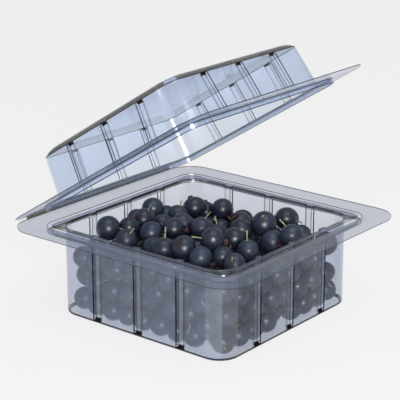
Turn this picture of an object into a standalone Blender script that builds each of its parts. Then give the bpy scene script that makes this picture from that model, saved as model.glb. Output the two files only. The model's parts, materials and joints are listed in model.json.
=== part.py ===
"""Clear hinged fruit clamshell: a ribbed square tray full of currants and a ribbed lid, part way open.

The tray stands on Z = 0 with its middle over the origin. The lid's hinge lies along X at the +Y edge.
Each half of the pack is one thin formed sheet. Its outline is given on the side that faces the fruit,
as a stack of rounded squares, and the sheet's thickness is added on the far side.
"""
import math

import bmesh
import bpy
from mathutils import Matrix, Vector

# Driving dimensions, in metres
SHEET = 0.0004              # thickness of the formed sheet
FLANGE_HALF = 0.0700        # half the width of the square flange round each half
FLANGE_RADIUS = 0.0143
TRAY_HEIGHT = 0.0454        # height of the tray's flange over the table
TRAY_MOUTH = 0.05215        # half the width of the tray's mouth
TRAY_WALL = 0.05185         # half the width between the tray's walls, under the collar
TRAY_RADIUS = 0.0108
COLLAR_HEIGHT = 0.0012      # the plain band under the mouth
COLLAR_STEP = 0.0006        # height of the slope from that band in to the wall
FLOOR_FILLET = 0.0010
GROOVE_INNER = 0.0555       # the tray's groove, which takes the lid's bead
GROOVE_OUTER = 0.0577
GROOVE_DEPTH = 0.0030
GROOVE_RADIUS = 0.0080      # corner radius of the groove's and the bead's outer edges
GROOVE_INNER_RADIUS = 0.0060
BEAD_INNER = 0.05585        # the lid's bead
BEAD_OUTER = 0.05730
BEAD_DEPTH = 0.0024
BEAD_INNER_RADIUS = 0.0065
DRAFT = 0.0002              # how much the groove and the bead narrow on each side
LID_MOUTH = 0.05165
LID_MOUTH_RADIUS = 0.0092
LID_SHOULDER = 0.04905      # half the width of the lid's walls at their top
LID_SHOULDER_RADIUS = 0.0060
LID_SHOULDER_HEIGHT = 0.0220
LID_TOP = 0.0460            # half the width of the lid's flat top
LID_TOP_RADIUS = 0.0080
LID_HEIGHT = 0.0244
LID_ROUND_STEPS = 4         # facets in the rounded band between the lid's walls and its top
RIB_PITCH = 0.02625         # three ribs on every wall
RIB_MOUTH = 0.0050          # width of a rib where it leaves the wall
RIB_FACE = 0.0036           # width of its flat face
RIB_DEPTH = 0.0012
RIB_RUN_OUT = 0.0012        # length over which a rib runs out, at the tray's floor and at the lid's shoulder
CORNER_STEPS = 6
OPEN_ANGLE = math.radians(32.08)
HINGE_Y = 0.07074           # the hinge's axis, just outside the flanges
HINGE_RISE = 0.00055        # its height over the tray's flange
CLOSED_GAP = 0.0003         # gap between the two flanges when the lid is shut
HEAP_HALF = 0.0496          # half the width of the heap of fruit
HEAP_CORNER = 0.16          # how much its corners are drawn in
HEAP_BOTTOM = 0.0010
HEAP_BOTTOM_INSET = 0.0040
HEAP_WALL_TOP = 0.0365      # height of the heap where it meets the walls
HEAP_CROWN = 0.0495         # height of the heap in the middle
HEAP_DOME_POWER = 2.2       # the higher, the flatter the middle of the heap
HEAP_TAPER_START = 0.6      # share of the way down the side where the heap starts to draw in
HEAP_STEPS = 30
HEAP_SIDE_STEPS = 11
FRUIT = 0.0120              # diameter of a fruit, and the pitch of the heap's lumps
LUMP_RADIUS = 0.0074


def clear_scene():
    for obj in list(bpy.data.objects):
        bpy.data.objects.remove(obj, do_unlink=True)


def material(name, colour, roughness, alpha=1.0):
    """A Principled material of one colour."""
    mat = bpy.data.materials.new(name)
    mat.use_nodes = True
    shader = mat.node_tree.nodes["Principled BSDF"]
    shader.inputs["Base Color"].default_value = (*colour, 1.0)
    shader.inputs["Roughness"].default_value = roughness
    shader.inputs["Metallic"].default_value = 0.0
    shader.inputs["Alpha"].default_value = alpha
    return mat


def mesh_object(name, bm, mat):
    """Turns a bmesh into a named, smooth-shaded object."""
    mesh = bpy.data.meshes.new(name)
    bm.to_mesh(mesh)
    bm.free()
    mesh.materials.append(mat)
    mesh.shade_smooth()
    mesh.set_sharp_from_angle(angle=math.radians(35))
    obj = bpy.data.objects.new(name, mesh)
    bpy.context.scene.collection.objects.link(obj)
    return obj


def corner_arc(half, radius, steps):
    """Points round the corner of a square at +X +Y, from its +X side to its +Y side, both ends included."""
    centre = half - radius
    angles = [math.radians(90.0) * i / steps for i in range(steps + 1)]
    return [Vector((centre + radius * math.cos(a), centre + radius * math.sin(a))) for a in angles]


def rib_stations(half, rib_half):
    """Points along the +X side of a square, from -Y to +Y, with three ribs that step in to rib_half."""
    points = []
    for rib in (-1, 0, 1):
        centre = rib * RIB_PITCH
        points.append(Vector((half, centre - RIB_MOUTH / 2)))
        points.append(Vector((rib_half, centre - RIB_FACE / 2)))
        points.append(Vector((rib_half, centre + RIB_FACE / 2)))
        points.append(Vector((half, centre + RIB_MOUTH / 2)))
    return points


def four_sides(quarter):
    """Repeats the points of one side and one corner round the square."""
    return [Matrix.Rotation(math.radians(90.0) * turn, 2) @ p for turn in range(4) for p in quarter]


def square_ring(half, radius, rib_half=None):
    """A rounded square whose sides carry the rib stations, stepped in where rib_half is given."""
    face = half if rib_half is None else rib_half
    return four_sides(rib_stations(half, face) + corner_arc(half, radius, CORNER_STEPS))


def skin(bm, rings):
    """Joins (points, height) rings of equal counts in turn and closes the last one with a face."""
    loops = [[bm.verts.new((p.x, p.y, z)) for p in points] for points, z in rings]
    for outer, inner in zip(loops, loops[1:]):
        for i in range(len(outer)):
            j = (i + 1) % len(outer)
            bm.faces.new((outer[i], outer[j], inner[j], inner[i]))
    bm.faces.new(loops[-1])


def sheet_object(name, rings, mat, offset):
    """A formed sheet through the rings, thickened on the side that offset gives."""
    bm = bmesh.new()
    skin(bm, rings)
    obj = mesh_object(name, bm, mat)
    solidify = obj.modifiers.new("sheet", "SOLIDIFY")
    solidify.thickness = SHEET
    solidify.offset = offset
    solidify.use_even_offset = True
    solidify.use_quality_normals = True
    return obj


def make_tray(mat):
    """The tray, from the flange's edge over the groove and the mouth down to the floor."""
    rim = TRAY_HEIGHT
    rib = TRAY_WALL - RIB_DEPTH
    wall_radius = TRAY_RADIUS - (TRAY_MOUTH - TRAY_WALL)
    floor_half = TRAY_WALL - FLOOR_FILLET
    floor_radius = wall_radius - FLOOR_FILLET
    bevel = FLOOR_FILLET * (1.0 - math.cos(math.radians(45.0)))
    rings = [
        (square_ring(FLANGE_HALF, FLANGE_RADIUS), rim),
        (square_ring(GROOVE_OUTER, GROOVE_RADIUS), rim),
        (square_ring(GROOVE_OUTER - DRAFT, GROOVE_RADIUS - DRAFT), rim - GROOVE_DEPTH),
        (square_ring(GROOVE_INNER + DRAFT, GROOVE_INNER_RADIUS + DRAFT), rim - GROOVE_DEPTH),
        (square_ring(GROOVE_INNER, GROOVE_INNER_RADIUS), rim),
        (square_ring(TRAY_MOUTH, TRAY_RADIUS, rib), rim),
        (square_ring(TRAY_MOUTH, TRAY_RADIUS, rib), rim - COLLAR_HEIGHT),
        (square_ring(TRAY_WALL, wall_radius, rib), rim - COLLAR_HEIGHT - COLLAR_STEP),
        (square_ring(TRAY_WALL, wall_radius, rib), SHEET + FLOOR_FILLET + RIB_RUN_OUT),
        (square_ring(TRAY_WALL, wall_radius), SHEET + FLOOR_FILLET),
        (square_ring(TRAY_WALL - bevel, wall_radius - bevel), SHEET + bevel),
        (square_ring(floor_half, floor_radius), SHEET),
    ]
    return sheet_object("tray", rings, mat, -1.0)


def make_lid(mat):
    """The lid as it lies when shut, hung from an empty on the hinge's axis that then opens it."""
    base = TRAY_HEIGHT + CLOSED_GAP
    rib_low = LID_MOUTH - RIB_DEPTH
    lean = (LID_MOUTH - LID_SHOULDER) / LID_SHOULDER_HEIGHT
    radius_lean = (LID_MOUTH_RADIUS - LID_SHOULDER_RADIUS) / LID_SHOULDER_HEIGHT

    def wall(height, ribbed):
        half = LID_MOUTH - lean * height
        rib = rib_low - lean * height if ribbed else None
        return square_ring(half, LID_MOUTH_RADIUS - radius_lean * height, rib), base + height

    def rounded(step):
        angle = math.radians(90.0) * step / LID_ROUND_STEPS
        half = LID_TOP + (LID_SHOULDER - LID_TOP) * math.cos(angle)
        radius = LID_TOP_RADIUS + (LID_SHOULDER_RADIUS - LID_TOP_RADIUS) * math.cos(angle)
        rise = (LID_HEIGHT - LID_SHOULDER_HEIGHT) * math.sin(angle)
        return square_ring(half, radius), base + LID_SHOULDER_HEIGHT + rise

    rings = [
        (square_ring(FLANGE_HALF, FLANGE_RADIUS), base),
        (square_ring(BEAD_OUTER, GROOVE_RADIUS), base),
        (square_ring(BEAD_OUTER - DRAFT, GROOVE_RADIUS - DRAFT), base - BEAD_DEPTH),
        (square_ring(BEAD_INNER + DRAFT, BEAD_INNER_RADIUS + DRAFT), base - BEAD_DEPTH),
        (square_ring(BEAD_INNER, BEAD_INNER_RADIUS), base),
        wall(0.0, True),
        wall(LID_SHOULDER_HEIGHT - RIB_RUN_OUT, True),
        wall(LID_SHOULDER_HEIGHT, False),
        *[rounded(step) for step in range(1, LID_ROUND_STEPS + 1)],
    ]
    lid = sheet_object("lid", rings, mat, 1.0)
    hinge = bpy.data.objects.new("lid_hinge", None)
    bpy.context.scene.collection.objects.link(hinge)
    hinge.location = (0.0, HINGE_Y, TRAY_HEIGHT + HINGE_RISE)
    lid.parent = hinge
    lid.location = -hinge.location
    hinge.rotation_euler = (-OPEN_ANGLE, 0.0, 0.0)
    return lid


def lump(u, v):
    """How deep the heap's surface dips at u, v, below round fruit that lie side by side in staggered rows."""
    row_pitch = FRUIT * math.sqrt(3.0) / 2.0
    nearest = FRUIT
    first_row = math.floor(v / row_pitch)
    for row in (first_row, first_row + 1):
        shift = FRUIT / 2.0 * (row % 2)
        along = (u - shift + FRUIT / 2.0) % FRUIT - FRUIT / 2.0
        nearest = min(nearest, math.hypot(along, v - row * row_pitch))
    return LUMP_RADIUS - math.sqrt(LUMP_RADIUS ** 2 - nearest ** 2)


def heap_plan(u, v, half):
    """Maps the square -1..1 to the heap's plan, with its corners drawn in."""
    return half * u * math.sqrt(1.0 - HEAP_CORNER * v * v), half * v * math.sqrt(1.0 - HEAP_CORNER * u * u)


def heap_top_point(u, v):
    """The domed top of the heap."""
    x, y = heap_plan(u, v, HEAP_HALF)
    outwards = max(abs(u), abs(v))
    dome = (HEAP_CROWN - HEAP_WALL_TOP) * (1.0 - outwards ** HEAP_DOME_POWER)
    return Vector((x, y, HEAP_WALL_TOP + dome - lump(x, y)))


def heap_side_point(u, v, t):
    """The side of the heap, with t from 0 at its top edge to 1 at the bottom, where it draws in."""
    z = HEAP_WALL_TOP + (HEAP_BOTTOM - HEAP_WALL_TOP) * t
    taper = max(0.0, t - HEAP_TAPER_START) / (1.0 - HEAP_TAPER_START)
    half = HEAP_HALF - HEAP_BOTTOM_INSET * taper
    x, y = heap_plan(u, v, half)
    along = y if abs(u) >= abs(v) else x
    dent = lump(along, z) if t < 1.0 else 0.0
    outwards = Vector((x, y, 0.0)).normalized()
    return Vector((x, y, z)) - outwards * dent


def make_heap(mat):
    """The heap of currants, one solid out to its uneven outline: a grid over the top, extruded down the sides."""
    bm = bmesh.new()
    bmesh.ops.create_grid(bm, x_segments=HEAP_STEPS, y_segments=HEAP_STEPS, size=1.0)
    rim = [edge for edge in bm.edges if edge.is_boundary]
    on_rim = {vert for edge in rim for vert in edge.verts}
    places = {}
    for vert in bm.verts:
        u, v = vert.co.x, vert.co.y
        places[vert] = heap_side_point(u, v, 0.0) if vert in on_rim else heap_top_point(u, v)
    for step in range(1, HEAP_SIDE_STEPS + 1):
        grown = bmesh.ops.extrude_edge_only(bm, edges=rim)["geom"]
        verts = {item for item in grown if isinstance(item, bmesh.types.BMVert)}
        for vert in verts:
            places[vert] = heap_side_point(vert.co.x, vert.co.y, step / HEAP_SIDE_STEPS)
        rim = [item for item in grown if isinstance(item, bmesh.types.BMEdge) and verts.issuperset(item.verts)]
    bmesh.ops.holes_fill(bm, edges=rim)
    for vert, place in places.items():
        vert.co = place
    bmesh.ops.recalc_face_normals(bm, faces=bm.faces[:])
    return mesh_object("currants", bm, mat)


def main():
    clear_scene()
    clear = material("clear_plastic", (0.72, 0.77, 0.86), 0.08, 0.3)
    fruit = material("currant_skin", (0.02, 0.022, 0.035), 0.35)
    make_tray(clear)
    make_lid(clear)
    make_heap(fruit)


main()
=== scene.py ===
# %% [markdown]
# # A clear fruit clamshell, part way open
#
# The pack is two thin formed sheets of clear plastic, a tray and a lid, joined along one edge by a
# living hinge. It holds a heap of dark currants with their short stalks. This lesson builds each
# piece with Blender's own modelling tools, around a frame that says where the pieces lie and how
# the lid turns. All lengths are in metres.

# %% The frame that the pieces are built around
import json
import math

import bmesh
import bpy
import numpy as np
from mathutils import Matrix, Vector

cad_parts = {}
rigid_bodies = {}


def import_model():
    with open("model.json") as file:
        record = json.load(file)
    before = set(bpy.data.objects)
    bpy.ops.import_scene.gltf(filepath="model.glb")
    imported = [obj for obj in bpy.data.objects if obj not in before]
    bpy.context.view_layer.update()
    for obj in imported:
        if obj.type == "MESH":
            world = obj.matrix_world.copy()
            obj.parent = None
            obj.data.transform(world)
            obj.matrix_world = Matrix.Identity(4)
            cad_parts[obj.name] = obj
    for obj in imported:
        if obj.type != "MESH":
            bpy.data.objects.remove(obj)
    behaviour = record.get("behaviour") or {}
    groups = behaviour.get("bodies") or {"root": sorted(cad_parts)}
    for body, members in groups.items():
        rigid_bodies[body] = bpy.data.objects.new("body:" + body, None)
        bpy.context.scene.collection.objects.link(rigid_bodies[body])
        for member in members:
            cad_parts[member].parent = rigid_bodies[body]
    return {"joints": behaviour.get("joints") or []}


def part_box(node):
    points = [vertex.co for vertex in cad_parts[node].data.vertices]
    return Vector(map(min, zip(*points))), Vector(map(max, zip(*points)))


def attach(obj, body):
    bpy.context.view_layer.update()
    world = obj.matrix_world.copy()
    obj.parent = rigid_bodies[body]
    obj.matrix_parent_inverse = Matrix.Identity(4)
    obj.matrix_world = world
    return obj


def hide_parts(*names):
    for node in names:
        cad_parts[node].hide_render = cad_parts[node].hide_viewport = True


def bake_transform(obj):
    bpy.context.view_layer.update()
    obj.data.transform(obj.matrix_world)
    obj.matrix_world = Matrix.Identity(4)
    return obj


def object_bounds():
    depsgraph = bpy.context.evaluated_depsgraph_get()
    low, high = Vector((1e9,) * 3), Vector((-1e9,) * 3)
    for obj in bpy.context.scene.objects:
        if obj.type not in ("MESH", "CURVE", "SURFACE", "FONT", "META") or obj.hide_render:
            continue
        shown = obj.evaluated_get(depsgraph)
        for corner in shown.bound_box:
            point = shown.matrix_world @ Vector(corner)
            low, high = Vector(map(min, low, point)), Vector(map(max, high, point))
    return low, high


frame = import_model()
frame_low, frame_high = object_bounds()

print("frame box, mm:", [round(1000 * v, 1) for v in (*frame_low, *frame_high)])

# %% [markdown]
# ## Sizes
#
# The frame gives the outside of the tray, the hinge's axis and how far the lid is open. The rest
# of the sizes are the maker's: how wide the groove is, where the ribs stand, how thick the sheet
# is. Each half of the pack is drawn on the side of the sheet that faces the fruit.

# %% Sizes taken from the frame
MM = 0.001
tray_low, tray_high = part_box("tray")
hinge = frame["joints"][0]
HINGE_POINT = Vector(hinge["pos_m"])
OPEN_ANGLE = -math.radians(hinge["range_deg"][0])
FLANGE_HALF = tray_high[0]
TRAY_HEIGHT = tray_high[2]
print("flange, mm wide:", round(2 * FLANGE_HALF / MM))
print("lid open, degrees:", round(math.degrees(OPEN_ANGLE), 1))

# %% Sizes of the formed sheet
SHEET = 0.0004
FLANGE_RADIUS = 0.0143
CLOSED_GAP = 0.0003
TRAY_MOUTH = 0.05215
TRAY_WALL = 0.05185
TRAY_RADIUS = 0.0108
COLLAR, COLLAR_STEP = 0.0012, 0.0006
FLOOR_FILLET = 0.0010
GROOVE_INNER, GROOVE_OUTER, GROOVE_DEPTH = 0.0555, 0.0577, 0.0030
BEAD_INNER, BEAD_OUTER, BEAD_DEPTH = 0.05585, 0.05730, 0.0024
GROOVE_RADIUS, GROOVE_INNER_RADIUS, BEAD_INNER_RADIUS = 0.0080, 0.0060, 0.0065
DRAFT = 0.0002
LID_MOUTH, LID_MOUTH_RADIUS = 0.05165, 0.0092
LID_SHOULDER, LID_SHOULDER_RADIUS, LID_SHOULDER_HEIGHT = 0.04905, 0.0060, 0.0220
LID_TOP, LID_TOP_RADIUS, LID_HEIGHT = 0.0460, 0.0080, 0.0244
RIB_PITCH = 0.02625
RIB_MOUTH, RIB_FACE, RIB_DEPTH = 0.0050, 0.0036, 0.0012
RIB_RUN_OUT = 0.0012
RIB_FOOT = SHEET + FLOOR_FILLET + RIB_RUN_OUT
CORNER_STEPS = 14
FILLET_STEPS = 4
# Two places closer than this count as the same.
NEAR = 0.00002
print("sheet, mm thick:", round(SHEET / MM, 2), "; groove, mm deep:", round(GROOVE_DEPTH / MM, 2))


# %% [markdown]
# ## Small helpers for edit mode
#
# An operator acts on whatever is selected, so each step starts by deselecting everything and then
# picks its faces or points in code, by where they are.

# %% Helpers for selecting and for edit mode
def deselect_all():
    if bpy.context.object and bpy.context.object.mode != "OBJECT":
        bpy.ops.object.mode_set(mode="OBJECT")
    bpy.ops.object.select_all(action="DESELECT")


def activate(obj):
    deselect_all()
    obj.select_set(True)
    bpy.context.view_layer.objects.active = obj


def select_points(obj, test):
    """In edit mode, selects the points whose place passes the test, and what lies between them."""
    mesh = bmesh.from_edit_mesh(obj.data)
    bpy.ops.mesh.select_all(action="DESELECT")
    for vert in mesh.verts:
        vert.select_set(test(vert.co))
    mesh.select_flush_mode()
    bmesh.update_edit_mesh(obj.data)


def select_faces(obj, test):
    """In edit mode, selects the faces that pass the test."""
    mesh = bmesh.from_edit_mesh(obj.data)
    bpy.ops.mesh.select_all(action="DESELECT")
    for face in mesh.faces:
        if test(face):
            face.select_set(True)
    bmesh.update_edit_mesh(obj.data)


def count_of(obj):
    obj.data.calc_loop_triangles()
    return f"{obj.name}: {len(obj.data.vertices)} points, {len(obj.data.loop_triangles)} triangles"


def apply_modifier(obj, kind, **settings):
    """Adds a modifier, sets it and applies it."""
    activate(obj)
    modifier = obj.modifiers.new(kind.lower(), kind)
    for name, value in settings.items():
        setattr(modifier, name, value)
    bpy.ops.object.modifier_apply(modifier=modifier.name)


# %% [markdown]
# ## Shader maths as arithmetic
#
# A finish is easier to read as a sum than as a list of linked nodes. A value wraps one socket, and
# adding or multiplying values adds the Math nodes. Colours go through Mix nodes instead, because a
# Math node would turn them grey. One method adds any other node.

# %% Values and finishes
class Value:
    """A shader socket that can be added, multiplied and so on."""

    def __init__(self, finish, socket):
        self.finish, self.socket = finish, socket

    def maths(self, operation, *inputs):
        return self.finish.node("ShaderNodeMath", {"operation": operation}, dict(enumerate(inputs)))

    def __add__(self, other):
        return self.maths("ADD", self, other)

    def __sub__(self, other):
        return self.maths("SUBTRACT", self, other)

    def __rsub__(self, other):
        return self.maths("SUBTRACT", other, self)

    def __mul__(self, other):
        return self.maths("MULTIPLY", self, other)

    def __pow__(self, other):
        return self.maths("POWER", self, other)

    __radd__, __rmul__ = __add__, __mul__

    def ramp(self, low, high):
        """0 below low, 1 above high, smooth between."""
        settings = {"interpolation_type": "SMOOTHSTEP"}
        return self.finish.node("ShaderNodeMapRange", settings, {0: self, 1: low, 2: high})


class Finish:
    """A node material, built by calls."""

    def __init__(self, name):
        self.material = bpy.data.materials.new(name)
        self.material.use_nodes = True
        self.tree = self.material.node_tree
        self.tree.nodes.clear()

    def node(self, kind, settings=None, sockets=None, output=0):
        """Adds a node: its settings first, then its sockets as numbers, colours or links."""
        made = self.tree.nodes.new(kind)
        for name, value in (settings or {}).items():
            setattr(made, name, value)
        for name, value in (sockets or {}).items():
            if isinstance(value, Value):
                self.tree.links.new(value.socket, made.inputs[name])
            else:
                made.inputs[name].default_value = value
        return Value(self, made.outputs[output]) if made.outputs else made

    def place(self):
        """Where a point is on the object, in metres."""
        return self.node("ShaderNodeTexCoord", output="Object")

    def stored(self, name):
        """A number that the mesh stores at its points."""
        return self.node("ShaderNodeAttribute", {"attribute_name": name}, output="Fac")

    def noise(self, size, detail=2.0, roughness=0.5):
        """Cloudy noise between 0 and 1, whose blots are about size metres across."""
        sockets = {"Vector": self.place(), "Scale": 1 / size, "Detail": detail, "Roughness": roughness}
        return self.node("ShaderNodeTexNoise", None, sockets)

    def mix(self, factor, first, second):
        """A colour between two."""
        return self.node("ShaderNodeMix", {"data_type": "RGBA"}, {0: factor, 6: first, 7: second}, 2)

    def bump(self, height, distance, strength=1.0):
        """The normal of a surface raised by the height, up to distance metres."""
        sockets = {"Height": height, "Distance": distance, "Strength": strength}
        return self.node("ShaderNodeBump", None, sockets)

    def blend(self, factor, first, second):
        """A surface between two."""
        return self.node("ShaderNodeMixShader", None, {0: factor, 1: first, 2: second})

    def done(self, surface):
        self.node("ShaderNodeOutputMaterial", None, {"Surface": surface})
        print("finish", self.material.name, "has", len(self.tree.nodes), "nodes")
        return self.material


# %% [markdown]
# ## The clear plastic
#
# Real sheet bends light only slightly, because its two faces are parallel, so the plastic is drawn
# as tinted light going straight through and gloss on top. The gloss grows as the sheet is seen
# more edge on, as on every clear plastic. Where the sheet bends tightly it does bend light, and
# shows as a dark line. That line is painted shade: the mesh stores how sharply it bends, and that
# drives a tint that goes brown on the gentle bends and nearly black in the folds.
#
# Handled sheet is never quite clean. A trace of pale scuffs lies all over it, and the tray's left
# and right walls carry a little more, as a mist. The sides of the ribs and the flange are a little
# glossier than the flats. The lid is tinted lighter than the tray, which is a choice of look: both
# are one sheet on the real thing.

# %% Clear plastic
TRAY_TINT, TRAY_HAZE = (0.85, 0.866, 0.905, 1), (0.44, 0.45, 0.49, 1)
LID_TINT, LID_HAZE = (0.885, 0.915, 0.965, 1), (0.66, 0.68, 0.74, 1)
# BROWN_TINT and DARK_TINT are painted shade, for the light that the bends turn away.
BROWN_TINT = (0.46, 0.43, 0.37, 1)
DARK_TINT = (0.08, 0.078, 0.08, 1)
EDGE_TINT = (0.05, 0.05, 0.06, 1)
GLOSS_TINT = (0.95, 0.965, 1.0, 1)
RIB_GLOSS_TINT = (0.58, 0.74, 1.0, 1)
MIST_TINT = (0.66, 0.74, 0.93, 1)
TRAY_GLOSS, LID_GLOSS = 0.022, 0.045
EDGE_ON_GLOSS, RIB_GLOSS, FLANGE_GLOSS = 0.80, 0.03, 0.045
GLOSS_GROWTH, GLOSS_ROUGHNESS, FOLD_GLOSS_LOSS = 5.0, 0.16, 0.8
SCUFFS, MIST = 0.012, 0.05
WIDE_WAVES, SMALL_WAVES, SMALL_WAVE_SHARE, WAVE_HEIGHT = 0.018, 0.0045, 0.06, 0.0006
# The stored bend runs from 0 to 1: below this it paints brown shade on the sheet, above it dark shade.
FOLD_START = 0.4


def see_through(finish, tint):
    return finish.node("ShaderNodeBsdfTransparent", None, {"Color": tint})


def clear_finish(name, tint, haze_tint, straight_on_gloss):
    """Clear sheet of a tint, hazier seen edge on, with brown and then dark painted shade where it bends."""
    finish = Finish(name)
    facing = finish.node("ShaderNodeLayerWeight", None, {"Blend": 0.5}, "Facing")
    bend = finish.stored("bend")
    edge_on = facing.ramp(0.72, 0.95)
    fold = bend.ramp(FOLD_START, 1.0)
    gentle = bend.ramp(0.0, FOLD_START)
    # Painted shade: brown on gentle bends seen turned away, near black in the folds.
    turned_away = facing.ramp(0.1, 0.5) + bend.ramp(FOLD_START, 0.5)
    brown = gentle * turned_away.ramp(0.0, 1.0)
    through = finish.blend(brown, see_through(finish, tint), see_through(finish, BROWN_TINT))
    through = finish.blend(edge_on * finish.stored("haze"), through, see_through(finish, haze_tint))
    through = finish.blend(fold, through, see_through(finish, DARK_TINT))
    scuffs = finish.node("ShaderNodeBsdfDiffuse", None, {"Color": MIST_TINT})
    through = finish.blend((finish.stored("mist") * MIST + SCUFFS) * (1 - fold), through, scuffs)
    waves = finish.noise(WIDE_WAVES, 1.0) + finish.noise(SMALL_WAVES, 2.0) * SMALL_WAVE_SHARE
    bumps = finish.bump(waves * (1 - facing.ramp(0.45, 0.75)), WAVE_HEIGHT)
    sheen = {"Roughness": GLOSS_ROUGHNESS, "Normal": bumps}
    plain_gloss, rib_gloss = [
        finish.node("ShaderNodeBsdfGlossy", None, {"Color": color, **sheen})
        for color in (GLOSS_TINT, RIB_GLOSS_TINT)
    ]
    rib = finish.stored("rib")
    gloss = finish.blend(rib, plain_gloss, rib_gloss)
    extra = rib * RIB_GLOSS + finish.stored("haze") * FLANGE_GLOSS
    share = facing ** GLOSS_GROWTH * (EDGE_ON_GLOSS - straight_on_gloss) + (extra + straight_on_gloss)
    return finish.done(finish.blend(share * (1 - fold * FOLD_GLOSS_LOSS), through, gloss))


tray_sheet = clear_finish("clear_tray_sheet", TRAY_TINT, TRAY_HAZE, TRAY_GLOSS)
lid_sheet = clear_finish("clear_lid_sheet", LID_TINT, LID_HAZE, LID_GLOSS)
# The cut edges take a near-black tint: partly the dull cut itself, partly painted shade for the dark line
# that a clear edge shows.
cut_edge = clear_finish("cut_edge", EDGE_TINT, EDGE_TINT, LID_GLOSS)

# %% [markdown]
# ## Forming a sheet
#
# A thermoformed sheet starts flat and is drawn down over a mould, so it is a single surface that
# steps in and down. It could be lofted through drawn outlines. Here a rounded square is extruded
# ring by ring instead, each ring settled on the next rounded square, which is how the mould itself
# is cut, and keeps the points of all rings in line for the ribs.

# %% Rings of the formed sheet
def start_ring(name, half, radius, z):
    """A rounded square outline: a plane with its corners bevelled and its face taken out."""
    deselect_all()
    bpy.ops.mesh.primitive_plane_add(size=2 * half, location=(0, 0, 0))
    obj = bpy.context.object
    obj.name = name
    bpy.ops.object.mode_set(mode="EDIT")
    bpy.ops.mesh.select_mode(type="VERT")
    bpy.ops.mesh.select_all(action="SELECT")
    bpy.ops.mesh.bevel(offset=radius, offset_type="OFFSET", segments=CORNER_STEPS, affect="VERTICES")
    bpy.ops.mesh.delete(type="ONLY_FACE")
    bpy.ops.mesh.select_all(action="SELECT")
    bpy.ops.transform.translate(value=(0, 0, z))
    return obj


def settle_ring(obj, old, new):
    """Moves the selected ring from one rounded square (half, radius, z) to another."""
    mesh = bmesh.from_edit_mesh(obj.data)
    old_centre, new_centre = old[0] - old[1], new[0] - new[1]
    for vert in mesh.verts:
        if vert.select:
            for axis in (0, 1):
                share = (abs(vert.co[axis]) - old_centre) / old[1]
                vert.co[axis] = math.copysign(new_centre + new[1] * share, vert.co[axis])
            vert.co.z = new[2]
    bmesh.update_edit_mesh(obj.data)


def form_sheet(name, sections):
    """An open sheet through the sections, closed by a flat face in the last one."""
    obj = start_ring(name, *sections[0])
    for old, new in zip(sections, sections[1:]):
        bpy.ops.mesh.extrude_edges_move()
        settle_ring(obj, old, new)
    bpy.ops.mesh.edge_face_add()
    print(name, "formed through", len(sections), "outlines")
    return obj


# %% [markdown]
# ## Ribs
#
# Every wall has three ribs, shallow grooves pressed in from outside that stiffen the thin sheet.
# The wall faces are bisected along each rib's edges, and the points between are set in onto the
# rib's own face, which leaves narrow sloping sides and a short run-out at its end.

# %% Pressing the ribs into the walls
def rib_cuts():
    """Places along a wall where the sides of its ribs start and end."""
    for rib in (-1, 0, 1):
        for half in (RIB_MOUTH / 2, RIB_FACE / 2):
            for side in (-1, 1):
                yield rib * RIB_PITCH + side * half


def on_a_rib(place):
    return any(abs(place - rib * RIB_PITCH) < RIB_FACE / 2 + NEAR for rib in (-1, 0, 1))


def press_ribs(obj, z_range, face_range, inner_half, rib_half_at):
    """Cuts the ribs' sides into the walls within z_range, and sets the points in face_range in."""
    low, high = min(z_range) - NEAR, max(z_range) + NEAR
    face_low, face_high = min(face_range) - NEAR, max(face_range) + NEAR
    for along, across in ((0, 1), (1, 0)):
        def is_wall(face):
            heights = [vert.co.z for vert in face.verts]
            upright = abs(face.normal[across]) > 0.9 and max(heights) - min(heights) > NEAR
            inside = min(heights) > low and max(heights) < high
            return upright and inside and abs(face.calc_center_median()[across]) > inner_half

        normal = Vector((0, 0, 0))
        normal[along] = 1.0
        for place in rib_cuts():
            select_faces(obj, is_wall)
            bpy.ops.mesh.bisect(plane_co=normal * place, plane_no=normal)
        mesh = bmesh.from_edit_mesh(obj.data)
        for vert in mesh.verts:
            co = vert.co
            on_wall = inner_half < abs(co[across]) < GROOVE_INNER - NEAR
            if on_wall and face_low < co.z < face_high and on_a_rib(co[along]):
                co[across] = math.copysign(rib_half_at(co.z), co[across])
        bmesh.update_edit_mesh(obj.data)
    print(obj.name, "has 12 ribs,", round(RIB_DEPTH / MM, 1), "mm deep")


# %% [markdown]
# ## Bends and thickness
#
# Every fold of the sheet is rounded off by a narrow bevel. The bevel's own faces are the tight bends
# that show as dark lines, painted as shade, and the mesh stores how dark to paint them, along with the
# painted dark band down the collar under the lip, the lid's rounded band and the fillet round the floor.
# It also stores how hazy each face is when it is seen edge on (the curved corners and the flange are,
# and the flats are not), which faces are the sides of a rib, and which carry mist.
#
# A real sheet bends alike all round. Here the painted shade on the gentle bends at the back and right
# is a quarter of that on the front and left, because seen through the near wall it would show too
# strongly. The two halves of the lid's band differ for that reason only.

# %% Marking the tight bends
BEND_RADIUS = 0.00030
BEND_ANGLE = math.radians(18)
SMOOTH_ANGLE = math.radians(40)
BAND_CURVE, TIGHT_CURVE = 180.0, 2200.0
CORNER_CURVE = 60.0
# Painted shade, from 0 to 1: how dark the flange, the collar under the lip, the collar's foot, the floor's
# edge, the rib ends and the folds are painted.
FLANGE_BEND, COLLAR_SHADE, COLLAR_FOOT_BEND = 0.03, 0.48, 0.60
FLOOR_EDGE_BEND, NOTCH_BEND = 0.85, 0.9
FOLD_BEND, FOLD_BEND_RANGE = 0.85, 0.15
FAR_SIDES = 0.25
LID_NOTCHES = TRAY_HEIGHT + 0.010
print("folds are rounded to, mm:", round(BEND_RADIUS / MM, 2))


def curve_of(face):
    """How tightly the sheet curves across a long narrow face, in radians a metre."""
    width = face.calc_area() / max(edge.calc_length() for edge in face.edges)
    long_edges = [edge for edge in face.edges if edge.is_manifold and edge.calc_length() > 1.2 * width]
    return abs(sum(edge.calc_face_angle_signed(0.0) / 2 for edge in long_edges)) / width


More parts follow.
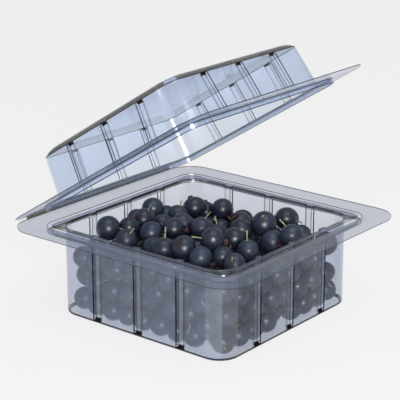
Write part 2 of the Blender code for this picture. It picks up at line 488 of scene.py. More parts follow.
def bend_haze_and_rib(face, curve):
    """Three numbers to store for a face. A fold's faces, which the bevel made, have material 1."""
    middle = face.calc_center_median()
    reach = max(abs(middle.x), abs(middle.y))
    slant = abs(face.normal.z)
    share = min(1.0, max(0.0, (curve - BAND_CURVE) / (TIGHT_CURVE - BAND_CURVE)))
    flat_inner = curve < CORNER_CURVE and reach < GROOVE_INNER
    if face.material_index == 1:
        foot_low, foot_high = COLLAR - BEND_RADIUS, COLLAR + COLLAR_STEP + BEND_RADIUS
        at_foot = reach < GROOVE_INNER and foot_low < TRAY_HEIGHT - middle.z < foot_high
        return COLLAR_FOOT_BEND if at_foot else FOLD_BEND + FOLD_BEND_RANGE * share, 1.0, 0.0
    if reach > GROOVE_OUTER:
        return FLANGE_BEND, 1.0, 0.0
    # The flat collar under the lip is painted a dark band of shade.
    if flat_inner and TRAY_HEIGHT - COLLAR < middle.z < TRAY_HEIGHT - NEAR:
        return COLLAR_SHADE, 0.0, 0.0
    # The floor's edge is painted as a dark line of shade.
    if middle.z < SHEET + FLOOR_FILLET and 0.1 < slant < 0.99:
        return FLOOR_EDGE_BEND, 0.0, 0.0
    # The slanted ends of the ribs are painted dark, as shade in the notches.
    at_rib_end = middle.z < RIB_FOOT or middle.z > LID_NOTCHES
    if at_rib_end and flat_inner and 0.15 < slant < 0.9:
        return NOTCH_BEND, 0.0, 0.0
    side = 1.0 if middle.x + middle.y < 0 else FAR_SIDES
    flank = curve < CORNER_CURVE and min(abs(face.normal.x), abs(face.normal.y)) > 0.2
    return min(FOLD_START, 2 * math.sqrt(share)) * side, float(curve > CORNER_CURVE), float(flank)


def mark_bends(obj):
    """Stores each face's bend, haze, rib and mist, and takes the bevel's material away again."""
    mesh = bmesh.new()
    mesh.from_mesh(obj.data)
    bends, hazes, ribs = zip(*[bend_haze_and_rib(face, curve_of(face)) for face in mesh.faces])
    mists = [float(obj.name == "clear_tray" and abs(face.normal.x) > 0.7) for face in mesh.faces]
    mesh.free()
    for name, values in (("bend", bends), ("haze", hazes), ("rib", ribs), ("mist", mists)):
        obj.data.attributes.new(name, "FLOAT", "FACE").data.foreach_set("value", values)
    obj.data.polygons.foreach_set("material_index", [0] * len(bends))
    folded = sum(bend > 0.5 for bend in bends)
    print(obj.name, "faces in folds:", folded, "of", len(bends), "; on ribs:", round(sum(ribs)))


# %% Rounding the folds and giving the sheet its thickness
def finish_sheet(obj, offset, finish):
    """Softens the folds, thickens the sheet away from the fruit and shades it smooth."""
    bpy.ops.mesh.select_all(action="SELECT")
    bpy.ops.mesh.remove_doubles(threshold=0.000001)
    bpy.ops.object.mode_set(mode="OBJECT")
    obj.data.materials.append(finish)
    obj.data.materials.append(cut_edge)
    apply_modifier(
        obj, "BEVEL", width=BEND_RADIUS, segments=2, limit_method="ANGLE", angle_limit=BEND_ANGLE, material=1,
    )
    mark_bends(obj)
    apply_modifier(
        obj, "SOLIDIFY", thickness=SHEET, offset=offset, use_even_offset=True,
        use_quality_normals=True, material_offset_rim=1,
    )
    activate(obj)
    bpy.ops.object.shade_smooth_by_angle(angle=SMOOTH_ANGLE)
    print(count_of(obj))


# %% [markdown]
# ## The tray
#
# The tray steps from its wide flat flange down into the groove that takes the lid's bead, back up
# to a narrow lip, over the mouth, down a short collar and the walls, and round a small fillet into
# the floor.

# %% The tray
def fillet_sections(half, radius, z, size, steps):
    """Sections round a quarter circle from a wall into the flat floor below it."""
    made = []
    for step in range(steps + 1):
        angle = math.radians(90) * step / steps
        inset = size * (1 - math.cos(angle))
        made.append((half - inset, radius - inset, z + size * (1 - math.sin(angle))))
    return made


WALL_RADIUS = TRAY_RADIUS - (TRAY_MOUTH - TRAY_WALL)
tray = form_sheet("clear_tray", [
    (FLANGE_HALF, FLANGE_RADIUS, TRAY_HEIGHT),
    (GROOVE_OUTER, GROOVE_RADIUS, TRAY_HEIGHT),
    (GROOVE_OUTER - DRAFT, GROOVE_RADIUS - DRAFT, TRAY_HEIGHT - GROOVE_DEPTH),
    (GROOVE_INNER + DRAFT, GROOVE_INNER_RADIUS + DRAFT, TRAY_HEIGHT - GROOVE_DEPTH),
    (GROOVE_INNER, GROOVE_INNER_RADIUS, TRAY_HEIGHT),
    (TRAY_MOUTH, TRAY_RADIUS, TRAY_HEIGHT),
    (TRAY_MOUTH, TRAY_RADIUS, TRAY_HEIGHT - COLLAR),
    (TRAY_WALL, WALL_RADIUS, TRAY_HEIGHT - COLLAR - COLLAR_STEP),
    (TRAY_WALL, WALL_RADIUS, RIB_FOOT),
    *fillet_sections(TRAY_WALL, WALL_RADIUS, SHEET, FLOOR_FILLET, FILLET_STEPS),
])
press_ribs(
    tray, (TRAY_HEIGHT, SHEET + FLOOR_FILLET), (TRAY_HEIGHT, RIB_FOOT),
    TRAY_WALL - NEAR, lambda z: TRAY_WALL - RIB_DEPTH,
)
finish_sheet(tray, 1.0, tray_sheet)

# %% [markdown]
# ## The lid
#
# The lid is formed the same way, but the other way up, with a bead that presses into the tray's
# groove. It is drawn as it lies when shut and then turned about the hinge's axis.

# %% The lid
LID_BASE = TRAY_HEIGHT + CLOSED_GAP
LEAN = (LID_MOUTH - LID_SHOULDER) / LID_SHOULDER_HEIGHT
RADIUS_LEAN = (LID_MOUTH_RADIUS - LID_SHOULDER_RADIUS) / LID_SHOULDER_HEIGHT
RIB_END = LID_SHOULDER_HEIGHT - RIB_RUN_OUT
# Half of the angle that the rounded band turns through.
BAND_SWING = math.radians(22)
BAND_STEPS = 4


def lid_wall(height):
    """The section of the lid's leaning wall at a height."""
    return LID_MOUTH - LEAN * height, LID_MOUTH_RADIUS - RADIUS_LEAN * height, LID_BASE + height


def lid_shoulder(steps):
    """Sections up the rounded band over the wall: an arc from a fold up to the flat top."""
    across, up = LID_SHOULDER - LID_TOP, LID_HEIGHT - LID_SHOULDER_HEIGHT
    slope, swing = math.atan2(across, up), BAND_SWING
    arc_radius = math.hypot(across, up) / (2 * math.sin(swing))
    made = []
    for step in range(1, steps + 1):
        angle = slope - swing + 2 * swing * step / steps
        inset = arc_radius * (math.cos(slope - swing) - math.cos(angle))
        rise = arc_radius * (math.sin(angle) - math.sin(slope - swing))
        radius = LID_SHOULDER_RADIUS + (LID_TOP_RADIUS - LID_SHOULDER_RADIUS) * inset / across
        made.append((LID_SHOULDER - inset, radius, LID_BASE + LID_SHOULDER_HEIGHT + rise))
    return made


lid = form_sheet("clear_lid", [
    (FLANGE_HALF, FLANGE_RADIUS, LID_BASE),
    (BEAD_OUTER, GROOVE_RADIUS, LID_BASE),
    (BEAD_OUTER - DRAFT, GROOVE_RADIUS - DRAFT, LID_BASE - BEAD_DEPTH),
    (BEAD_INNER + DRAFT, BEAD_INNER_RADIUS + DRAFT, LID_BASE - BEAD_DEPTH),
    (BEAD_INNER, BEAD_INNER_RADIUS, LID_BASE),
    lid_wall(0.0),
    lid_wall(RIB_END),
    lid_wall(LID_SHOULDER_HEIGHT),
    *lid_shoulder(BAND_STEPS),
])
press_ribs(
    lid, (LID_BASE, LID_BASE + LID_SHOULDER_HEIGHT), (LID_BASE, LID_BASE + RIB_END),
    LID_SHOULDER - NEAR, lambda z: LID_MOUTH - LEAN * (z - LID_BASE) - RIB_DEPTH,
)
finish_sheet(lid, -1.0, lid_sheet)

# %% Opening the lid
about_hinge = Matrix.Translation(HINGE_POINT)
lid_turn = about_hinge @ Matrix.Rotation(-OPEN_ANGLE, 4, "X") @ about_hinge.inverted()
lid.data.transform(lid_turn)
print("lid turned about", [round(v / MM, 2) for v in HINGE_POINT])

# %% [markdown]
# ## Where the fruit lies
#
# Loose fruit finds its own places: each one sinks until its neighbours and the walls hold it up.
# The top layer is what gives a heap its character, so its fruit are listed one by one, with the way
# that each stalk points. The rest start on a loose lattice and are pushed apart, again and again,
# until none sinks into another.

# %% Fruit listed one by one
# Middle x, y and z and radius in millimetres, the way the stalk points, the stalk's length in mm.
TOP_FRUIT = [
    (-25.8, 42.1, 38.9, 6.46, 0.50, -0.87, 0.00, 4.5),
    (11.0, 44.4, 39.3, 5.91, -0.25, -0.63, -0.74, 0.0),
    (-5.4, 36.0, 39.6, 5.90, 0.07, -0.42, 0.91, 5.0),
    (-0.8, 44.9, 36.6, 5.41, -0.65, 0.58, 0.50, 0.0),
    (-18.1, 20.3, 39.1, 5.99, -0.23, 0.97, -0.03, 0.0),
    (-9.9, 12.4, 40.8, 5.80, -0.41, 0.91, -0.08, 0.0),
    (0.2, 15.5, 40.1, 5.64, -0.62, -0.64, 0.45, 1.8),
    (-29.7, 2.4, 37.9, 6.15, 0.23, 0.05, 0.97, 5.2),
    (-25.9, 12.2, 35.5, 5.55, -0.67, -0.11, -0.74, 0.0),
    (-27.6, -8.4, 40.6, 6.03, 0.72, 0.01, -0.69, 0.0),
    (29.9, 31.8, 37.4, 6.13, -0.21, -0.59, -0.78, 0.0),
    (19.8, 34.7, 35.3, 5.71, 0.00, -0.31, 0.95, 3.0),
    (22.2, 44.5, 32.0, 5.88, -0.05, -0.83, 0.56, 5.0),
    (-0.7, 2.1, 41.0, 5.79, 0.18, -0.25, 0.95, 4.5),
    (-27.9, -19.1, 38.1, 5.80, -0.24, 0.90, 0.35, 0.0),
    (-28.4, 27.8, 36.5, 5.77, -0.07, -0.57, 0.82, 3.0),
    (-16.0, 36.6, 37.7, 5.69, -0.44, -0.09, -0.89, 0.0),
    (40.0, 21.2, 35.9, 6.13, -0.21, -0.89, -0.41, 4.5),
    (39.8, 32.0, 32.5, 5.75, -0.33, -0.40, -0.86, 0.0),
    (26.2, -1.5, 37.4, 5.55, 0.58, -0.22, -0.78, 0.0),
    (14.6, -10.8, 38.8, 5.79, -0.65, -0.12, -0.75, 0.0),
    (21.8, -19.5, 41.9, 6.47, -0.57, -0.34, 0.75, 2.6),
    (40.7, -19.9, 39.5, 6.35, 0.06, -1.00, 0.03, 4.6),
    (44.5, -26.2, 31.1, 5.66, -0.15, -0.67, -0.73, 0.0),
    (19.6, -37.9, 40.4, 5.94, -0.28, 0.44, 0.85, 4.6),
    (17.4, -28.1, 35.4, 6.14, 0.33, 0.94, -0.10, 0.0),
    (-1.4, -18.2, 40.1, 5.80, -0.86, -0.36, -0.37, 1.6),
    (-16.6, -17.1, 43.7, 6.08, -0.79, 0.58, 0.21, 5.2),
    (-5.2, -30.1, 37.8, 5.52, -0.01, 0.10, 0.99, 5.2),
    (-22.2, -35.1, 37.0, 5.52, -0.80, -0.30, 0.51, 1.6),
    (-11.6, -14.2, 34.7, 5.41, 0.85, 0.43, -0.30, 0.0),
    (-19.1, -25.5, 37.5, 5.41, -0.33, -0.56, -0.76, 0.0),
    (6.0, 33.5, 34.6, 5.40, 0.40, -0.30, 0.87, 0.0),
]
print(len(TOP_FRUIT), "fruit placed by hand")

# %% Settling the rest of the fruit
FRUIT_LIMIT = 0.0500
FRUIT_CORNER = 0.0100
FRUIT_RADII = (0.0053, 0.0063)
LATTICE = 0.0109
LATTICE_STEPS, LATTICE_LEVELS, LOWEST_LEVEL = 4, 3, 0.0062
SCATTER = 0.0030
SETTLE_ROUNDS, PUSH_SHARE, SINK = 260, 0.8, 0.00006
DEEPEST_OVERLAP = 0.0015
CEILING_BY_WALL, CEILING_RISE, CEILING_REACH, CEILING_POWER = 0.0314, 0.0030, 0.046, 2.6
draw = np.random.default_rng(11)


def fruit_ceiling(places):
    """The height that the middles of the settled fruit stay under: lower by the walls."""
    reach = 1 - np.clip(np.abs(places[:, :2]) / CEILING_REACH, 0, 1) ** CEILING_POWER
    return CEILING_BY_WALL + CEILING_RISE * reach[:, 0] * reach[:, 1]


def keep_inside(places, radii):
    """Moves fruit that stands into a wall, a rounded corner or the floor back inside."""
    reach = np.clip(np.abs(places[:, :2]), 0, (FRUIT_LIMIT - radii)[:, None])
    past = np.clip(reach - (FRUIT_LIMIT - FRUIT_CORNER), 0, None)
    distance = np.linalg.norm(past, axis=1)
    room = FRUIT_CORNER - radii
    scale = np.where(distance > room, room / np.maximum(distance, 1e-9), 1.0)
    reach = np.where(past > 0, FRUIT_LIMIT - FRUIT_CORNER + past * scale[:, None], reach)
    places[:, :2] = np.sign(places[:, :2]) * reach
    places[:, 2] = np.maximum(places[:, 2], SHEET + radii)
    places[:, 2] = np.minimum(places[:, 2], fruit_ceiling(places))


def settle(fixed_places, fixed_radii):
    """Places and radii of loose fruit that fill the tray under the fixed ones."""
    steps = np.arange(-LATTICE_STEPS, LATTICE_STEPS + 1) * LATTICE
    levels = LOWEST_LEVEL + np.arange(LATTICE_LEVELS) * LATTICE
    places = np.array([(x, y, z) for z in levels for x in steps for y in steps])
    places += draw.normal(0, SCATTER, places.shape)
    radii = draw.uniform(*FRUIT_RADII, len(places))
    count = len(places)
    all_radii = np.concatenate([radii, fixed_radii])
    for _ in range(SETTLE_ROUNDS):
        everything = np.concatenate([places, fixed_places])
        apart = places[:, None] - everything[None]
        distance = np.linalg.norm(apart, axis=2)
        distance[np.arange(count), np.arange(count)] = 1.0
        overlap = np.clip(radii[:, None] + all_radii[None] - distance, 0, None)
        share = np.where(np.arange(len(everything)) < count, 0.5, 1.0)
        push = apart / distance[:, :, None] * (overlap * share)[:, :, None]
        places += PUSH_SHARE * push.sum(axis=1)
        places[:, 2] -= SINK
        keep_inside(places, radii)
    worst = overlap.max(axis=1)
    kept = worst < DEEPEST_OVERLAP
    print("settled", kept.sum(), "of", count)
    print("deepest overlap, mm:", round(worst[kept].max() / MM, 2))
    return places[kept], radii[kept]


top_places = np.array([row[:3] for row in TOP_FRUIT]) * MM
top_radii = np.array([row[3] for row in TOP_FRUIT]) * MM
loose_places, loose_radii = settle(top_places, top_radii)

# %% Leaving out the fruit that nothing shows
BURIED, BURIED_LOW, BURIED_HIGH = 0.017, 0.012, 0.024
hidden = np.abs(loose_places[:, :2]).max(axis=1) < FRUIT_LIMIT - BURIED
hidden &= (loose_places[:, 2] > BURIED_LOW) & (loose_places[:, 2] < BURIED_HIGH)
loose_places, loose_radii = loose_places[~hidden], loose_radii[~hidden]
loose_axes = draw.normal(size=loose_places.shape)
loose_axes /= np.linalg.norm(loose_axes, axis=1)[:, None]
print("fruit shown:", len(TOP_FRUIT) + len(loose_places))

# %% [markdown]
# ## One currant
#
# A currant is a slightly flattened ball, with a small dimple where its stalk was and a hollow at
# the other end where the dried flower sits. A ball from the menu is pushed in at both poles. The
# buried fruit are only ever glimpsed through the wall, so they are copied from a coarser ball.

# %% The currant, modelled once
FRUIT_SIZE = 0.0056
POLE = 0.999 * FRUIT_SIZE
STALK_DIMPLE, FLOWER_HOLLOW, FLATTENING = 0.00035, 0.0011, 0.96


def model_currant(name, segments, rings):
    """A ball pushed in at both ends, with its height and a tone stored at its points."""
    deselect_all()
    bpy.ops.mesh.primitive_uv_sphere_add(segments=segments, ring_count=rings, radius=FRUIT_SIZE)
    obj = bpy.context.object
    obj.name = name
    bpy.ops.object.mode_set(mode="EDIT")
    bpy.ops.mesh.select_mode(type="VERT")
    select_points(obj, lambda co: co.z > POLE)
    bpy.ops.transform.translate(value=(0, 0, -STALK_DIMPLE))
    select_points(obj, lambda co: co.z < -POLE)
    bpy.ops.transform.translate(value=(0, 0, FLOWER_HOLLOW))
    bpy.ops.mesh.select_all(action="SELECT")
    bpy.ops.transform.resize(value=(1, 1, FLATTENING), center_override=(0, 0, 0))
    bpy.ops.object.mode_set(mode="OBJECT")
    bpy.ops.object.shade_smooth()
    along = [vert.co.z / FRUIT_SIZE for vert in obj.data.vertices]
    obj.data.attributes.new("along", "FLOAT", "POINT").data.foreach_set("value", along)
    obj.data.attributes.new("tone", "FLOAT", "POINT")
    print(count_of(obj))
    return obj


fine_currant = model_currant("fine_currant", 24, 15)
coarse_currant = model_currant("coarse_currant", 16, 10)

# %% [markdown]
# ## Stalks and dried flowers
#
# Each currant hung from a thin green stalk, and carries the brown remains of its flower. The stalk
# is a small six-sided face extruded upwards in steps, each step moved a little sideways. The flower
# is a ring of edges extruded into a short ragged cup.

# %% A stalk, modelled once for each bend
STALK_RADIUS, STALK_SIDES, STALK_HEIGHT = 0.00034 * 1.9, 6, MM * 5
FOOT_RISE, STEP_RISE = 0.25, 0.96
ABOVE_FOOT, TAPER, TIP_SWELL = 0.58, 0.97, 1.25
SIDEWAYS = 0.3
SMALL_PART_ANGLE = math.radians(50)


def model_stalk(name, leans):
    """A thin stalk with a wider foot and tip. Each step up leans a little, in millimetres."""
    deselect_all()
    bpy.ops.mesh.primitive_circle_add(vertices=STALK_SIDES, radius=STALK_RADIUS, fill_type="NGON")
    obj = bpy.context.object
    obj.name = name
    bpy.ops.object.mode_set(mode="EDIT")
    bpy.ops.mesh.select_mode(type="FACE")
    bpy.ops.mesh.select_all(action="SELECT")
    height = 0.0
    for step, lean in enumerate(leans):
        rise = (FOOT_RISE if step == 0 else STEP_RISE) / (len(leans) - 1)
        rise *= STALK_HEIGHT
        height += rise
        move = (lean * MM, SIDEWAYS * lean * MM, rise)
        bpy.ops.mesh.extrude_region_move(TRANSFORM_OT_translate={"value": move})
        ring = [vert.co for vert in bmesh.from_edit_mesh(obj.data).verts if vert.select]
        centre = sum(ring, Vector()) / STALK_SIDES
        spread = ABOVE_FOOT if step == 0 else TAPER
        if step == len(leans) - 1:
            spread = TIP_SWELL
        bpy.ops.transform.resize(value=(spread, spread, 1), center_override=centre)
    bpy.ops.object.mode_set(mode="OBJECT")
    bpy.ops.object.shade_smooth_by_angle(angle=SMALL_PART_ANGLE)
    print(count_of(obj), "; height, mm:", round(height / MM, 1))
    return obj


stalks = [
    model_stalk("stalk_straight", (0.0, 0.05, 0.08, 0.05, 0.0)),
    model_stalk("stalk_bent", (0.05, 0.2, 0.35, 0.5, 0.55)),
    model_stalk("stalk_hooked", (0.0, -0.1, -0.35, -0.55, -0.25)),
]


# %% A dried flower, modelled once
PETALS, FLOWER_RADIUS, FLOWER_DEPTH, PETAL_THICKNESS = 10, 0.0009, 0.0007, 0.00022
CUP_STEPS = ((0.0008, 1.65), (0.0006, 1.18), (0.0006, 0.72))
RAGGED, RAGGED_STEP = 0.0004, 0.0001


def model_flower():
    """A small cup that widens and closes again, with an uneven rim."""
    deselect_all()
    bpy.ops.mesh.primitive_circle_add(
        vertices=PETALS, radius=FLOWER_RADIUS, fill_type="NGON", location=(0, 0, -FLOWER_DEPTH),
    )
    obj = bpy.context.object
    obj.name = "flower"
    bpy.ops.object.mode_set(mode="EDIT")
    bpy.ops.mesh.select_mode(type="EDGE")
    bpy.ops.mesh.select_all(action="SELECT")
    for rise, spread in CUP_STEPS:
        bpy.ops.mesh.extrude_edges_move(TRANSFORM_OT_translate={"value": (0, 0, rise)})
        bpy.ops.transform.resize(value=(spread, spread, 1), center_override=(0, 0, 0))
    mesh = bmesh.from_edit_mesh(obj.data)
    rim = sorted((v for v in mesh.verts if v.select), key=lambda v: math.atan2(v.co.y, v.co.x))
    for index, vert in enumerate(rim):
        vert.co.z += (RAGGED if index % 2 else -RAGGED) + RAGGED_STEP * (index % 3)
    bmesh.update_edit_mesh(obj.data)
    bpy.ops.mesh.select_all(action="SELECT")
    bpy.ops.mesh.normals_make_consistent(inside=False)
    bpy.ops.object.mode_set(mode="OBJECT")
    apply_modifier(obj, "SOLIDIFY", thickness=PETAL_THICKNESS, offset=0.0)
    bpy.ops.object.shade_smooth_by_angle(angle=SMALL_PART_ANGLE)
    print(count_of(obj))
    return obj


flower = model_flower()


# %% [markdown]
# ## Copying the fruit into place
#
# Every currant, stalk and flower is a copy with its own mesh, turned so that its stalk points its
# own way. Each kind is then joined into one piece. A stalk that would go through the plastic is
# left off.

# %% Copies and how they are turned
def pointing(axis, spin):
    """A turn that takes straight up to the axis, after a spin."""
    turn = Vector((0, 0, 1)).rotation_difference(Vector(axis))
    return turn.to_matrix().to_4x4() @ Matrix.Rotation(spin, 4, "Z")


def copy_of(source, matrix, tone=None):
    """A copy with its own mesh, moved by the matrix, and with its own tone if one is given."""
    made = source.copy()
    made.data = source.data.copy()
    made.data.transform(matrix)
    if tone is not None:
        made.data.attributes["tone"].data.foreach_set("value", [tone] * len(made.data.vertices))
    bpy.context.scene.collection.objects.link(made)
    return made


def join_as(name, parts, material):
    """Joins the parts into one piece with one finish."""
    deselect_all()
    for part in parts:
        part.select_set(True)
    bpy.context.view_layer.objects.active = parts[0]
    bpy.ops.object.join()
    obj = bpy.context.object
    obj.name = name
    obj.data.name = name
    obj.data.materials.clear()
    obj.data.materials.append(material)
    print(count_of(obj))
    return obj


# %% Finishes of the fruit
BARE_SKIN, BLOOMED_SKIN = (0.008, 0.012, 0.025, 1), (0.025, 0.034, 0.062, 1)
SKIN_AT_ENDS = (0.030, 0.012, 0.012, 1)
STALK_DARK, STALK_PALE = (0.13, 0.15, 0.07, 1), (0.30, 0.32, 0.17, 1)
FLOWER_DARK, FLOWER_PALE = (0.014, 0.008, 0.009, 1), (0.10, 0.030, 0.030, 1)


def currant_finish():
    """Dark skin with a pale bloom in patches, redder at the stalk and the flower."""
    finish = Finish("dark_currant_skin")
    tone, along = finish.stored("tone"), finish.stored("along")
    patches = finish.noise(0.0045, 3.0, 0.6)
    bloom = (patches * 0.8 + tone * 0.5 - 0.25).ramp(0.15, 0.75)
    ends = (along * along).ramp(0.72, 1.0)
    skin = finish.mix(bloom, BARE_SKIN, BLOOMED_SKIN)
    skin = finish.mix(ends * 0.7, skin, SKIN_AT_ENDS)
    pits = finish.noise(0.0011, 2.0) * 0.6 + patches
    return finish.done(finish.node("ShaderNodeBsdfPrincipled", None, {
        "Base Color": skin, "Roughness": bloom * 0.16 + 0.38, "Specular IOR Level": 0.35,
        "Coat Weight": 0.5, "Coat Roughness": 0.30, "Normal": finish.bump(pits, 0.00012, 0.6),
    }))


def stalk_finish():
    finish = Finish("stalk_green")
    streaks = finish.noise(0.0012, 2.0)
    colour = finish.mix(streaks.ramp(0.35, 0.65), STALK_DARK, STALK_PALE)
    return finish.done(finish.node("ShaderNodeBsdfPrincipled", None, {
        "Base Color": colour, "Roughness": 0.55, "Normal": finish.bump(streaks, 0.0001),
    }))


def flower_finish():
    finish = Finish("dried_flower")
    blots = finish.noise(0.0010, 2.0)
    colour = finish.mix(blots.ramp(0.4, 0.68), FLOWER_DARK, FLOWER_PALE)
    return finish.done(finish.node("ShaderNodeBsdfPrincipled", None, {
        "Base Color": colour, "Roughness": 0.7, "Normal": finish.bump(blots, 0.0002),
    }))


currant_skin, stalk_green, dried_flower = currant_finish(), stalk_finish(), flower_finish()

# %% The heap
STALK_SHARE, STALK_LENGTHS = 0.45, (2.5, 5.0)
FLOWER_SIZES = (0.70, 1.10)
FLOWER_SEAT, STALK_SEAT = 0.91, 0.87
FLOWER_REACH, FLOWER_MARGIN, STALK_MARGIN = 0.0013, 0.0019, 0.0008
FINE_ABOVE = 0.026
currant_copies, stalk_copies, flower_copies = [], [], []


def oval_of(tone):
    """No currant is quite round: the tone of its skin also picks how far off round it is."""
    return Matrix.Diagonal((1.06 - 0.12 * tone, 0.95 + 0.07 * tone, 1, 1))


def inside_tray(point, margin):
    """Whether a point is clear of the walls and the floor by a margin."""
    return max(abs(point.x), abs(point.y)) < FRUIT_LIMIT - margin and point.z > SHEET + margin


def add_fruit(source, place, radius, axis, stalk_length):
    """Copies one currant with its flower, and its stalk if it has one."""
    place, axis = Vector(place), Vector(axis).normalized()
    turn = pointing(axis, draw.uniform(0, 2 * math.pi))
    scale = radius / FRUIT_SIZE
    tone = draw.uniform()
    put = Matrix.Translation(place) @ turn @ oval_of(tone) @ Matrix.Scale(scale, 4)
    currant_copies.append(copy_of(source, put, tone))
    flower_place = place - axis * radius * FLOWER_SEAT
    if inside_tray(flower_place - axis * FLOWER_REACH, FLOWER_MARGIN):
        back = pointing(-axis, draw.uniform(0, 2 * math.pi))
        size = draw.uniform(*FLOWER_SIZES)
        put = Matrix.Translation(flower_place) @ back @ Matrix.Scale(size, 4)
        flower_copies.append(copy_of(flower, put))
    root = place + axis * radius * STALK_SEAT
    if stalk_length and inside_tray(root + axis * stalk_length, STALK_MARGIN):
        shape = stalks[int(draw.integers(len(stalks)))]
        stretch = Matrix.Diagonal((1, 1, stalk_length / STALK_HEIGHT, 1))
        stalk_copies.append(copy_of(shape, Matrix.Translation(root) @ turn @ stretch))


for x, y, z, radius, *axis, stalk_length in TOP_FRUIT:
    add_fruit(fine_currant, Vector((x, y, z)) * MM, radius * MM, axis, stalk_length * MM)
for place, radius, axis in zip(loose_places, loose_radii, loose_axes):
    length = draw.uniform(*STALK_LENGTHS) * MM if draw.uniform() < STALK_SHARE else 0.0
    near_top = place[2] > FINE_ABOVE
    add_fruit(fine_currant if near_top else coarse_currant, place, radius, axis, length)

currants = join_as("heaped_currants", currant_copies, currant_skin)
stalk_piece = join_as("currant_stalks", stalk_copies, stalk_green)
flower_piece = join_as("dried_flowers", flower_copies, dried_flower)
for source in (fine_currant, coarse_currant, flower, *stalks):
    bpy.data.objects.remove(source)

# %% [markdown]
# ## The middle of the heap
#
# Nothing shows between the buried fruit except the dark. A smaller dark lump fills the middle in place of
# the fruit left out, and stands in for the shade there, so that no light comes through where no fruit are.

# %% The dark core
CORE_SIZE, CORE_MIDDLE, CORE_UNEVEN = (0.070, 0.070, 0.020), 0.0195, 0.0018
deselect_all()
bpy.ops.mesh.primitive_cube_add(size=1.0)
core = bpy.context.object
core.name = "heap_core"
bpy.ops.object.mode_set(mode="EDIT")
bpy.ops.mesh.select_mode(type="VERT")
bpy.ops.mesh.select_all(action="SELECT")
bpy.ops.mesh.subdivide(number_cuts=7)
bpy.ops.transform.resize(value=CORE_SIZE, center_override=(0, 0, 0))
bpy.ops.transform.translate(value=(0, 0, CORE_MIDDLE))
bpy.ops.transform.vertex_random(offset=CORE_UNEVEN, uniform=0.2, normal=0.5, seed=4)
bpy.ops.object.mode_set(mode="OBJECT")
apply_modifier(core, "SUBSURF", levels=1, render_levels=1)
bpy.ops.object.shade_smooth()
core.data.materials.append(currant_skin)
core.data.attributes.new("along", "FLOAT", "POINT")
core.data.attributes.new("tone", "FLOAT", "POINT")
print(count_of(core))

# %% [markdown]
# ## The living hinge
#
# Along the back the two halves are one sheet, bent double in a narrow strip. It is drawn as a thin
# half-round that starts at the tray's edge and ends at the lid's, shaped once for the lid as it stands open.

# %% The hinge strip
HINGE_HALF = 0.0548
HINGE_BULGE = frame_high[1] - NEAR
STRIP, STRIP_LAP, STRIP_BEND, STRIP_ROUND = 0.00012, 0.0001, 0.6, 0.7
EDGE_TOP = TRAY_HEIGHT - SHEET / 2
lid_edge = lid_turn @ Vector((0, FLANGE_HALF, LID_BASE + SHEET / 2))
deselect_all()
bpy.ops.mesh.primitive_plane_add(size=1.0)
strip = bpy.context.object
strip.name = "living_hinge"
bpy.ops.object.mode_set(mode="EDIT")
bpy.ops.mesh.select_mode(type="VERT")
bpy.ops.mesh.select_all(action="SELECT")
bpy.ops.mesh.subdivide(number_cuts=15)
bpy.ops.object.mode_set(mode="OBJECT")
start = Vector((0, FLANGE_HALF - STRIP_LAP, EDGE_TOP))
end = Vector((0, lid_edge.y - STRIP_LAP, lid_edge.z))
for vert in strip.data.vertices:
    share = vert.co.y + 0.5
    out = math.sin(math.pi * share) ** STRIP_ROUND if 0 < share < 1 else 0.0
    flat_y = start.y + (end.y - start.y) * share
    vert.co = Vector((
        vert.co.x * 2 * HINGE_HALF,
        flat_y + (HINGE_BULGE - STRIP - flat_y) * out,
        start.z + (end.z - start.z) * share,
    ))
# The whole strip is stored as a bend, so it takes the painted brown and dark shade of the folds.
bends = [STRIP_BEND] * len(strip.data.polygons)
strip.data.attributes.new("bend", "FLOAT", "FACE").data.foreach_set("value", bends)
apply_modifier(strip, "SOLIDIFY", thickness=STRIP, offset=0.0)
bpy.ops.object.shade_smooth_by_angle(angle=SMOOTH_ANGLE)
strip.data.materials.append(tray_sheet)
print(count_of(strip))

# %% [markdown]
# ## What each piece rides on
#
# The lid turns with its own body, and the tray, the fruit, the stalks, the flowers and the core stay
# with the tray. The hinge strip is left where it was drawn, on neither body.

# %% Bodies and replaced solids
for piece in (tray, currants, stalk_piece, flower_piece, core):
    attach(piece, "base")
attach(lid, "lid")
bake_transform(strip)
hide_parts("tray")
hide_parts("lid")
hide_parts("currants")
print("on the tray's body:", [piece.name for piece in (tray, currants, stalk_piece, flower_piece, core)])
print("on the lid's body:", lid.name, "; blended:", strip.name)

# %% [markdown]
# ## Camera, floor and light
#
# The view is a long lens from in front and a little above, looking at the corner. Clear plastic
# shows by what it mirrors, so the floor is bright and the walls of the studio a soft grey. A wide
# light overhead lights the whole pack evenly. A round soft light beside the camera puts the small
# bright spot on each currant. From behind, the flat sheet mirrors that light and goes white.

# %% Camera
AIM = Vector((-0.00191, 0.00235, 0.05588))
CAMERA_AZIMUTH, CAMERA_ELEVATION = math.radians(-50.951), math.radians(18.133)
CAMERA_DISTANCE = 0.7338
SENSOR_WIDTH, LENS = 36.0, 133.94


def direction(azimuth, elevation):
    """The way from the middle of the scene to something seen at these angles."""
    level = math.cos(elevation)
    return Vector((math.sin(azimuth) * level, -math.cos(azimuth) * level, math.sin(elevation)))


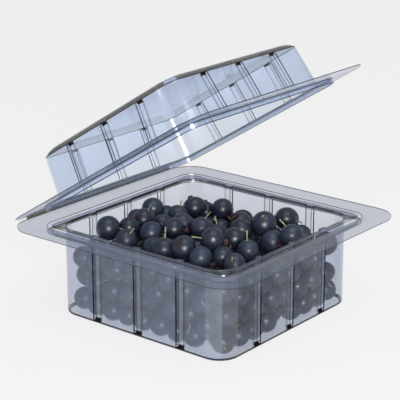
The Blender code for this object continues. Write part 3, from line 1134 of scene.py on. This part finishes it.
camera_data = bpy.data.cameras.new("camera")
camera_data.sensor_width = SENSOR_WIDTH
camera_data.lens = LENS
camera = bpy.data.objects.new("camera", camera_data)
bpy.context.scene.collection.objects.link(camera)
towards_camera = direction(CAMERA_AZIMUTH, CAMERA_ELEVATION)
camera.location = AIM + towards_camera * CAMERA_DISTANCE
camera.rotation_euler = towards_camera.to_track_quat("Z", "Y").to_euler()
bpy.context.scene.camera = camera
print("camera at, mm:", [round(v / MM) for v in camera.location])


# %% Floor
FLOOR_SIZE, FLOOR_GLOW, FLOOR_PAPER = 40.0, 0.765, (0.14, 0.14, 0.14, 1)


def floor_finish():
    """Pale paper that glows a little, and still takes a faint shadow."""
    finish = Finish("pale_floor")
    glow = finish.node("ShaderNodeEmission", None, {"Color": (1, 1, 1, 1), "Strength": FLOOR_GLOW})
    paper = finish.node("ShaderNodeBsdfDiffuse", None, {"Color": FLOOR_PAPER})
    return finish.done(finish.node("ShaderNodeAddShader", None, {0: glow, 1: paper}))


deselect_all()
bpy.ops.mesh.primitive_plane_add(size=FLOOR_SIZE, location=(0, 0, 0))
floor = bpy.context.object
floor.name = "pale_floor"
floor.data.materials.append(floor_finish())


# %% Lights
STUDIO_GREY = (0.38, 0.39, 0.41, 1)


def add_light(name, azimuth, elevation, distance, size, power):
    """A round soft light, seen at these angles from the pack and facing it."""
    light = bpy.data.lights.new(name, "AREA")
    light.shape, light.size, light.energy = "DISK", size, power
    obj = bpy.data.objects.new(name, light)
    towards = direction(math.radians(azimuth), math.radians(elevation))
    obj.location = AIM + towards * distance
    obj.rotation_euler = towards.to_track_quat("Z", "Y").to_euler()
    bpy.context.scene.collection.objects.link(obj)
    print("light", name, "is", round(size, 2), "m across and", distance, "m away")


add_light("overhead", -20, 78, 1.6, 1.2, 9.0)
add_light("beside_camera", -44, 13, 1.1, 0.46, 13.0)
world = bpy.data.worlds.new("studio")
bpy.context.scene.world = world
world.use_nodes = True
world.node_tree.nodes["Background"].inputs["Color"].default_value = STUDIO_GREY

# %% Light paths
# A ray may cross many sheets before it leaves the pack, so it is let through often.
scene = bpy.context.scene
scene.view_settings.view_transform = "Standard"
scene.cycles.max_bounces = 24
scene.cycles.glossy_bounces = 6
scene.cycles.diffuse_bounces = 3
scene.cycles.transparent_max_bounces = 64
print("sheets that a ray may cross:", scene.cycles.transparent_max_bounces)
